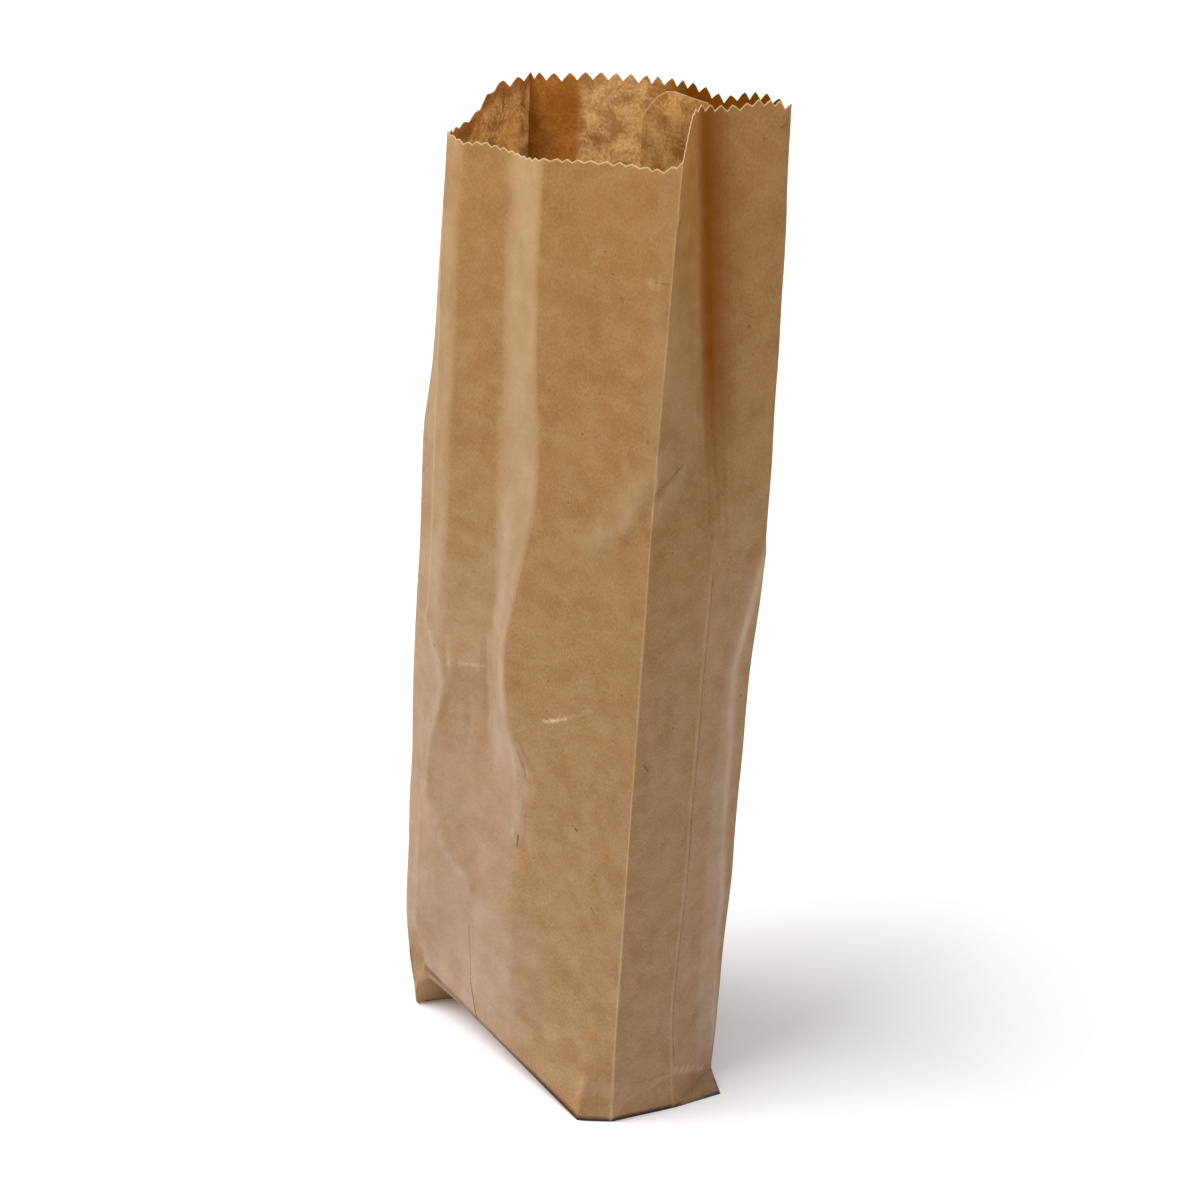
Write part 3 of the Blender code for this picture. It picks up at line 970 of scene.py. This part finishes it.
def kraftMaterial(name, colours, glazed):
    material = bpy.data.materials.new(name)
    material.use_nodes = True
    tree = material.node_tree
    shader = tree.nodes["Principled BSDF"]
    sheet = addNode(material, "UVMap", {"uv_map": "sheet"}).outputs["UV"]
    upright = addNode(material, "SeparateXYZ", None, {"Vector": sheet})
    hollow = "valleyShade" if glazed else "mouthShade"
    painted = {}
    for field in ("wear", "shade", hollow) + (("pale", "fold") if glazed else ("pocketShade",)):
        node = addNode(material, "Attribute", {"attribute_name": field})
        painted[field] = node.outputs["Fac"]

    cloud = addNode(material, "TexNoise", None,
                    {"Vector": sheet, "Scale": 1 / (kraft["cloud"] * mm), "Detail": 2.5,
                     "Roughness": 0.6})
    mottle = addNode(material, "TexNoise", None,
                     {"Vector": sheet, "Scale": 1 / (kraft["mottle"] * mm), "Detail": 4.0,
                      "Roughness": 0.7})
    drawn = addNode(material, "Mapping", None,
                    {"Vector": sheet,
                     "Scale": (1 / (kraft["fibre"] * mm),
                               1 / (kraft["fibre"] * kraft["fibreLength"] * mm), 1)})
    fibre = addNode(material, "TexNoise", None,
                    {"Vector": drawn.outputs["Vector"], "Scale": 1.0, "Detail": 3.0,
                     "Roughness": 0.6})
    cells = addNode(material, "TexVoronoi", None,
                    {"Vector": sheet, "Scale": 1 / (kraft["speckGap"] * mm)})
    patch = addNode(material, "TexNoise", None,
                    {"Vector": sheet, "Scale": 1 / (kraft["patch"] * mm), "Detail": 3.0,
                     "Roughness": 0.55, "Distortion": 0.3})
    both = addNode(material, "Math", {"operation": "MULTIPLY_ADD"},
                   {0: patch.outputs["Fac"], 1: 1.2, 2: mottle.outputs["Fac"]})

    # Clouds and pale patches
    tone = addNode(material, "MapRange", None,
                   {"Value": cloud.outputs["Fac"], "From Min": 0.36, "From Max": 0.60})
    pale = addNode(material, "MapRange", None,
                   {"Value": both.outputs[0], "From Min": 0.92, "From Max": 1.40,
                    "To Max": 0.75 if glazed else 1.0})
    base = addNode(material, "Mix", {"data_type": "RGBA"},
                   {"Factor": tone.outputs["Result"], 6: toLinear(colours[1]),
                    7: toLinear(colours[0])}).outputs[2]

    # Fibres and specks of bark
    thread = addNode(material, "MapRange", None,
                     {"Value": fibre.outputs["Fac"], "From Min": 0.30, "From Max": 0.70,
                      "To Min": 0.78, "To Max": 1.06})
    speck = addNode(material, "MapRange", None,
                    {"Value": cells.outputs["Distance"], "From Min": 0.028, "From Max": 0.045,
                     "To Min": 0.65, "To Max": 0.0})

    # Coats over the base: how much of each, and its colour, or none to darken or lighten
    coats = [(pale.outputs["Result"], colours[2]), (thread.outputs["Result"], None),
             (speck.outputs["Result"], kraft["speck"])]

    # Inside: pale crushed lines, painted shade on the doubled band, and stains
    if not glazed:
        crumple = addNode(material, "TexNoise", None,
                          {"Vector": sheet, "Scale": 1 / (kraft["crumple"] * mm), "Detail": 2.5,
                           "Roughness": 0.6, "Distortion": 0.6})
        near = addNode(material, "Math", {"operation": "SUBTRACT"},
                       {0: crumple.outputs["Fac"], 1: 0.5})
        near = addNode(material, "Math", {"operation": "ABSOLUTE"},
                       {0: near.outputs[0]})
        ridge = addNode(material, "MapRange", None,
                        {"Value": near.outputs[0], "From Min": 0.0, "From Max": 0.035,
                         "To Min": 0.4, "To Max": 0.0})
        doubledShade = addNode(material, "MapRange", None,
                          {"Value": painted["shade"], "To Max": kraft["doubledShadeMost"]})
        stain = addNode(material, "MapRange", None,
                        {"Value": both.outputs[0], "From Min": 0.93, "From Max": 1.27,
                         "To Min": 0.80, "To Max": 1.16})
        coats += [(ridge.outputs["Result"], kraft["worn"]),
                  (doubledShade.outputs["Result"], kraft["doubledShade"]),
                  (stain.outputs["Result"], None)]

    # What is painted on the sheet: field, colour and how far it covers; the fold, pocket, valley
    # and mouth fields are painted shade, the pale field a painted highlight, the wear worn paper
    if glazed:
        washes = [("fold", "fleckAndShade", 1.0), ("pale", "sheenPale", kraft["sheenPaleMost"])]
    else:
        washes = [("pocketShade", "fleckAndShade", 1.0)]
    washes += [(hollow, "valley", kraft["valleyMost"]), ("wear", "worn", 1.0)]
    for field, colour, most in washes:
        share = addNode(material, "MapRange", None,
                        {"Value": painted[field], "To Max": most})
        coats.append((share.outputs["Result"], kraft[colour]))

    # The small marks; they stray a little, and the worn ones are broken by the fibres
    if glazed:
        broken = addNode(material, "MapRange", None,
                         {"Value": fibre.outputs["Fac"], "From Min": 0.40, "From Max": 0.62,
                          "To Min": 0.15})
        stray = kraft["wander"] * mm
        wander = addNode(material, "VectorMath", {"operation": "MULTIPLY_ADD"},
                         {0: mottle.outputs["Color"], 1: (stray, stray, 0), 2: sheet})
    for x0, y0, x1, y1, half, most, colour in marks if glazed else []:
        along = Vector((x1 - x0, y1 - y0, 0)) * mm
        off = addNode(material, "VectorMath", {"operation": "SUBTRACT"},
                      {0: wander.outputs[0],
                       1: (x0 * mm + stray / 2, y0 * mm + stray / 2, 0)})
        share = addNode(material, "VectorMath", {"operation": "DOT_PRODUCT"},
                        {0: off.outputs[0], 1: along / along.length_squared})
        share = addNode(material, "Math", {"operation": "MULTIPLY", "use_clamp": True},
                        {0: share.outputs["Value"], 1: 1.0})
        near = addNode(material, "VectorMath", {"operation": "SCALE"},
                       {"Vector": along, "Scale": share.outputs[0]})
        far = addNode(material, "VectorMath", {"operation": "DISTANCE"},
                      {0: off.outputs[0], 1: near.outputs[0]})
        ink = addNode(material, "MapRange", None,
                      {"Value": far.outputs["Value"], "From Min": 0.2 * half * mm,
                       "From Max": half * mm, "To Min": most, "To Max": 0.0})
        ink = addNode(material, "Math", {"operation": "MULTIPLY"},
                      {0: ink.outputs["Result"],
                       1: broken.outputs["Result"] if colour == "worn" else 1.0})
        coats.append((ink.outputs[0], kraft[colour]))

    for share, colour in coats:
        if colour:
            base = addNode(material, "Mix", {"data_type": "RGBA"},
                           {"Factor": share, 6: base, 7: toLinear(colour)}).outputs[2]
        else:
            base = addNode(material, "VectorMath", {"operation": "SCALE"},
                           {"Vector": base, "Scale": share}).outputs[0]

    # Greyer at the bottom, warmer at the mouth
    height = addNode(material, "MapRange", None,
                     {"Value": upright.outputs["Y"], "From Min": kraft["tintFrom"] * mm,
                      "From Max": kraft["tintTo"] * mm})
    tint = addNode(material, "Mix", {"data_type": "VECTOR"},
                   {"Factor": height.outputs["Result"], 4: kraft["lowTint"],
                    5: kraft["highTint"]})
    base = addNode(material, "VectorMath", {"operation": "MULTIPLY"},
                   {0: base, 1: tint.outputs[1]}).outputs[0]

    # Relief, sheen, and the light that comes through a single layer
    relief = addNode(material, "Math", {"operation": "ADD"},
                     {0: mottle.outputs["Fac"], 1: fibre.outputs["Fac"]})
    bump = addNode(material, "Bump", None,
                   {"Height": relief.outputs[0], "Strength": 0.25,
                    "Distance": kraft["relief"] * mm})
    through = addNode(material, "MapRange", None,
                      {"Value": painted["shade"], "To Min": kraft["letThrough"],
                       "To Max": kraft["letThroughDouble"]})
    sheen = addNode(material, "MapRange", None,
                    {"Value": painted[hollow], "To Min": kraft["sheen"], "To Max": 0.0})
    for name, socket in (("Base Color", base), ("Normal", bump.outputs["Normal"]),
                         ("Subsurface Weight", through.outputs["Result"]),
                         ("Specular IOR Level", sheen.outputs["Result"])):
        tree.links.new(socket, shader.inputs[name])
    shader.inputs["Roughness"].default_value = kraft["roughness" if glazed else "roughnessInside"]
    shader.inputs["IOR"].default_value = 1.5
    shader.inputs["Subsurface Radius"].default_value = kraft["reachColour"]
    shader.inputs["Subsurface Scale"].default_value = kraft["reach"] * mm
    return material


def cutEdgeMaterial():
    # The pinked cut bares the pulp, so the edge is paler than the faces
    material = bpy.data.materials.new("cutKraft")
    material.use_nodes = True
    shader = material.node_tree.nodes["Principled BSDF"]
    place = addNode(material, "TexCoord").outputs["Object"]
    fluff = addNode(material, "TexNoise", None,
                    {"Vector": place, "Scale": 1 / (kraft["mottle"] * mm), "Detail": 3.0})
    base = addNode(material, "Mix", {"data_type": "RGBA"},
                   {"Factor": fluff.outputs["Fac"], 6: toLinear(kraft["cutDark"]),
                    7: toLinear(kraft["cut"])})
    material.node_tree.links.new(base.outputs[2], shader.inputs["Base Color"])
    shader.inputs["Roughness"].default_value = kraft["roughnessCut"]
    return material


def finishPaper(piece, faces):
    # Gives the sheet its thickness inwards; faces are the outside, the inside and the cut
    piece.data.materials.clear()
    for face in faces:
        piece.data.materials.append(face)
    wall = piece.modifiers.new("thickness", "SOLIDIFY")
    wall.thickness = paper["thickness"] * mm
    wall.offset = -1.0
    wall.use_even_offset = False
    wall.material_offset = 1
    wall.material_offset_rim = 2
    bpy.ops.object.select_all(action="DESELECT")
    piece.select_set(True)
    bpy.context.view_layer.objects.active = piece
    bpy.ops.object.modifier_apply(modifier="thickness")
    bpy.ops.object.shade_smooth_by_angle(angle=math.radians(40))
    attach(piece, "root")
    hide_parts("paper_bag")


glazedKraft = kraftMaterial("glazedKraft", kraft["outside"], True)
roughKraft = kraftMaterial("roughKraft", kraft["inside"], False)
flapLitKraft = kraftMaterial("flapLitKraft", kraft["flap"], False)
cutKraft = cutEdgeMaterial()
finishPaper(bag, (glazedKraft, roughKraft, cutKraft))
finishPaper(innerFlap, (glazedKraft, flapLitKraft, cutKraft))
print("stage: kraft finish", len(bag.data.polygons))


# Studio: a white sweep, a broad lamp from the upper left front, and even white light
studio = {
    "keyFrom": (-0.34, -0.475, 0.81),
    "keyBreadth": 40.0,      # degrees, as of a big soft box
    "keyStrength": 2.45,
    "around": 0.55,          # the even light's strength
    "floorSize": 12.0,
    "floorColour": (0.86, 0.86, 0.86),       # as the light sees it, and as the eye does
    "floorSeen": (1.09, 1.075, 1.11),
}


def addFloor():
    bpy.ops.object.select_all(action="DESELECT")
    bpy.ops.mesh.primitive_plane_add(size=studio["floorSize"])
    floor = bpy.context.object
    floor.name = "floor"
    material = bpy.data.materials.new("whiteSweep")
    material.use_nodes = True
    tree = material.node_tree
    shader = tree.nodes["Principled BSDF"]
    shader.inputs["Roughness"].default_value = 0.9
    shader.inputs["Specular IOR Level"].default_value = 0.0
    path = addNode(material, "LightPath")
    seen = addNode(material, "Math", {"operation": "MAXIMUM"},
                   {0: path.outputs["Is Camera Ray"], 1: path.outputs["Is Transmission Ray"]})
    tone = addNode(material, "Mix", {"data_type": "RGBA"},
                   {"Factor": seen.outputs[0], 6: studio["floorColour"] + (1.0,),
                    7: studio["floorSeen"] + (1.0,)})
    tree.links.new(tone.outputs[2], shader.inputs["Base Color"])
    floor.data.materials.append(material)


def addLight():
    data = bpy.data.lights.new("key", "SUN")
    data.angle = math.radians(studio["keyBreadth"])
    data.energy = studio["keyStrength"]
    lamp = bpy.data.objects.new("key", data)
    bpy.context.scene.collection.objects.link(lamp)
    lamp.location = Vector(studio["keyFrom"]) * 1.5
    aim = -Vector(studio["keyFrom"])
    lamp.rotation_euler = aim.to_track_quat("-Z", "Y").to_euler()
    world = bpy.data.worlds.new("studio")
    bpy.context.scene.world = world
    world.use_nodes = True
    path = addNode(world, "LightPath")
    level = addNode(world, "MapRange", None,
                    {"Value": path.outputs["Is Camera Ray"], "To Min": studio["around"]})
    air = world.node_tree.nodes["Background"]
    world.node_tree.links.new(level.outputs["Result"], air.inputs["Strength"])
    air.inputs["Color"].default_value = (1, 1, 1, 1)


addFloor()
addLight()
bpy.context.scene.view_settings.view_transform = "Standard"
print("stage: studio")

bpy.context.view_layer.update()
